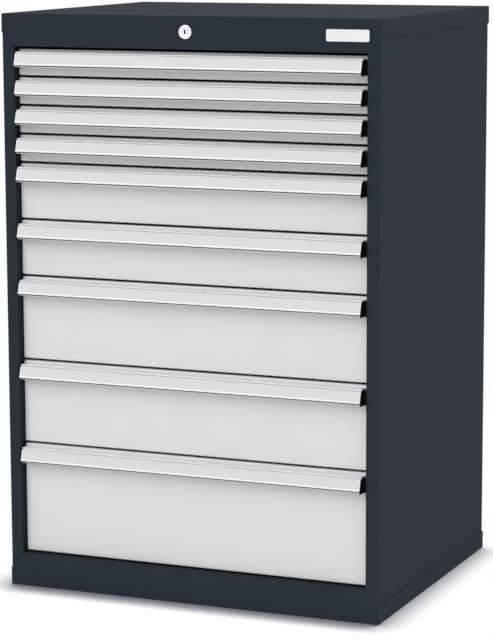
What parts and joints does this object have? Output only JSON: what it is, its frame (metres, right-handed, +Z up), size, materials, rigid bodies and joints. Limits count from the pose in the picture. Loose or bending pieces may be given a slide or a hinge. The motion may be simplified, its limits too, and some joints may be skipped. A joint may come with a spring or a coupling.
{
  "type": "industrial drawer cabinet",
  "caption": "Free-standing sheet-steel drawer cabinet with full-width pull-out drawers on telescopic runners, strip handles and a central lock with a locking bar.",
  "frame": {"origin": "bottom centre of the cabinet's box, on the floor", "axes": "+Z up, +X to the right seen from the front, +Y from the drawer fronts to the back"},
  "size_m": [0.702, 0.589, 1.02],
  "materials": {
    "anthracite_paint": "fine-textured powder coat",
    "light_grey_paint": "fine-textured powder coat",
    "aluminium": "satin anodised",
    "nickel": "satin nickel",
    "zinc_plate": "zinc plated",
    "white_plastic": "matt white",
    "black_plastic": "matt black moulded",
    "clear_plastic": "clear label cover"
  },
  "bodies": {
    "cabinet": {"top_cover": "anthracite_paint", "base_tray": "anthracite_paint", "right_side_panel": "anthracite_paint", "left_side_panel": "anthracite_paint", "back_panel": "anthracite_paint", "right_rail_frame": "zinc_plate", "left_rail_frame": "zinc_plate", "lock_housing": "nickel", "lock_nut": "nickel", "badge_plate": "white_plastic"},
    "lock_barrel": {"lock_barrel": "nickel", "lock_cam": "zinc_plate"},
    "locking_bar": {"locking_bar": "zinc_plate"},
    "drawer_1": {"drawer_1_tray": "light_grey_paint", "drawer_1_front": "light_grey_paint", "drawer_1_handle": "aluminium"},
    "drawer_1_runners": {"drawer_1_right_runner": "zinc_plate", "drawer_1_left_runner": "zinc_plate"},
    "drawer_2": {"drawer_2_tray": "light_grey_paint", "drawer_2_front": "light_grey_paint", "drawer_2_handle": "aluminium"},
    "drawer_2_runners": {"drawer_2_right_runner": "zinc_plate", "drawer_2_left_runner": "zinc_plate"},
    "drawer_3": {"drawer_3_tray": "light_grey_paint", "drawer_3_front": "light_grey_paint", "drawer_3_handle": "aluminium"},
    "drawer_3_runners": {"drawer_3_right_runner": "zinc_plate", "drawer_3_left_runner": "zinc_plate"},
    "drawer_4": {"drawer_4_tray": "light_grey_paint", "drawer_4_front": "light_grey_paint", "drawer_4_handle": "aluminium"},
    "drawer_4_runners": {"drawer_4_right_runner": "zinc_plate", "drawer_4_left_runner": "zinc_plate"},
    "drawer_5": {"drawer_5_tray": "light_grey_paint", "drawer_5_front": "light_grey_paint", "drawer_5_handle": "aluminium"},
    "drawer_5_runners": {"drawer_5_right_runner": "zinc_plate", "drawer_5_left_runner": "zinc_plate"},
    "drawer_6": {"drawer_6_tray": "light_grey_paint", "drawer_6_front": "light_grey_paint", "drawer_6_handle": "aluminium"},
    "drawer_6_runners": {"drawer_6_right_runner": "zinc_plate", "drawer_6_left_runner": "zinc_plate"},
    "drawer_7": {"drawer_7_tray": "light_grey_paint", "drawer_7_front": "light_grey_paint", "drawer_7_handle": "aluminium"},
    "drawer_7_runners": {"drawer_7_right_runner": "zinc_plate", "drawer_7_left_runner": "zinc_plate"},
    "drawer_8": {"drawer_8_tray": "light_grey_paint", "drawer_8_front": "light_grey_paint", "drawer_8_handle": "aluminium"},
    "drawer_8_runners": {"drawer_8_right_runner": "zinc_plate", "drawer_8_left_runner": "zinc_plate"},
    "drawer_9": {"drawer_9_tray": "light_grey_paint", "drawer_9_front": "light_grey_paint", "drawer_9_handle": "aluminium"},
    "drawer_9_runners": {"drawer_9_right_runner": "zinc_plate", "drawer_9_left_runner": "zinc_plate"}
  },
  "joints": [
    {"name": "lock_turn", "type": "hinge", "parent": "cabinet", "child": "lock_barrel", "pos_m": [0, -0.2805, 0.993], "axis": [0, 1, 0], "range_deg": [0, 90]},
    {"name": "locking_bar_slide", "type": "slide", "parent": "cabinet", "child": "locking_bar", "axis": [-1, 0, 0], "range_m": [0, 0.01131]},
    {"name": "drawer_1_slide", "type": "slide", "parent": "cabinet", "child": "drawer_1", "axis": [0, -1, 0], "range_m": [0, 0.45]},
    {"name": "drawer_1_runners_slide", "type": "slide", "parent": "cabinet", "child": "drawer_1_runners", "axis": [0, -1, 0], "range_m": [0, 0.225]},
    {"name": "drawer_2_slide", "type": "slide", "parent": "cabinet", "child": "drawer_2", "axis": [0, -1, 0], "range_m": [0, 0.45]},
    {"name": "drawer_2_runners_slide", "type": "slide", "parent": "cabinet", "child": "drawer_2_runners", "axis": [0, -1, 0], "range_m": [0, 0.225]},
    {"name": "drawer_3_slide", "type": "slide", "parent": "cabinet", "child": "drawer_3", "axis": [0, -1, 0], "range_m": [0, 0.45]},
    {"name": "drawer_3_runners_slide", "type": "slide", "parent": "cabinet", "child": "drawer_3_runners", "axis": [0, -1, 0], "range_m": [0, 0.225]},
    {"name": "drawer_4_slide", "type": "slide", "parent": "cabinet", "child": "drawer_4", "axis": [0, -1, 0], "range_m": [0, 0.45]},
    {"name": "drawer_4_runners_slide", "type": "slide", "parent": "cabinet", "child": "drawer_4_runners", "axis": [0, -1, 0], "range_m": [0, 0.225]},
    {"name": "drawer_5_slide", "type": "slide", "parent": "cabinet", "child": "drawer_5", "axis": [0, -1, 0], "range_m": [0, 0.45]},
    {"name": "drawer_5_runners_slide", "type": "slide", "parent": "cabinet", "child": "drawer_5_runners", "axis": [0, -1, 0], "range_m": [0, 0.225]},
    {"name": "drawer_6_slide", "type": "slide", "parent": "cabinet", "child": "drawer_6", "axis": [0, -1, 0], "range_m": [0, 0.45]},
    {"name": "drawer_6_runners_slide", "type": "slide", "parent": "cabinet", "child": "drawer_6_runners", "axis": [0, -1, 0], "range_m": [0, 0.225]},
    {"name": "drawer_7_slide", "type": "slide", "parent": "cabinet", "child": "drawer_7", "axis": [0, -1, 0], "range_m": [0, 0.45]},
    {"name": "drawer_7_runners_slide", "type": "slide", "parent": "cabinet", "child": "drawer_7_runners", "axis": [0, -1, 0], "range_m": [0, 0.225]},
    {"name": "drawer_8_slide", "type": "slide", "parent": "cabinet", "child": "drawer_8", "axis": [0, -1, 0], "range_m": [0, 0.45]},
    {"name": "drawer_8_runners_slide", "type": "slide", "parent": "cabinet", "child": "drawer_8_runners", "axis": [0, -1, 0], "range_m": [0, 0.225]},
    {"name": "drawer_9_slide", "type": "slide", "parent": "cabinet", "child": "drawer_9", "axis": [0, -1, 0], "range_m": [0, 0.45]},
    {"name": "drawer_9_runners_slide", "type": "slide", "parent": "cabinet", "child": "drawer_9_runners", "axis": [0, -1, 0], "range_m": [0, 0.225]}
  ],
  "couplings": [
    {"joint": "lock_turn", "follows": "locking_bar_slide", "rad_per_m": 138.84},
    {"joint": "drawer_1_runners_slide", "follows": "drawer_1_slide", "ratio": 0.5},
    {"joint": "drawer_2_runners_slide", "follows": "drawer_2_slide", "ratio": 0.5},
    {"joint": "drawer_3_runners_slide", "follows": "drawer_3_slide", "ratio": 0.5},
    {"joint": "drawer_4_runners_slide", "follows": "drawer_4_slide", "ratio": 0.5},
    {"joint": "drawer_5_runners_slide", "follows": "drawer_5_slide", "ratio": 0.5},
    {"joint": "drawer_6_runners_slide", "follows": "drawer_6_slide", "ratio": 0.5},
    {"joint": "drawer_7_runners_slide", "follows": "drawer_7_slide", "ratio": 0.5},
    {"joint": "drawer_8_runners_slide", "follows": "drawer_8_slide", "ratio": 0.5},
    {"joint": "drawer_9_runners_slide", "follows": "drawer_9_slide", "ratio": 0.5}
  ]
}
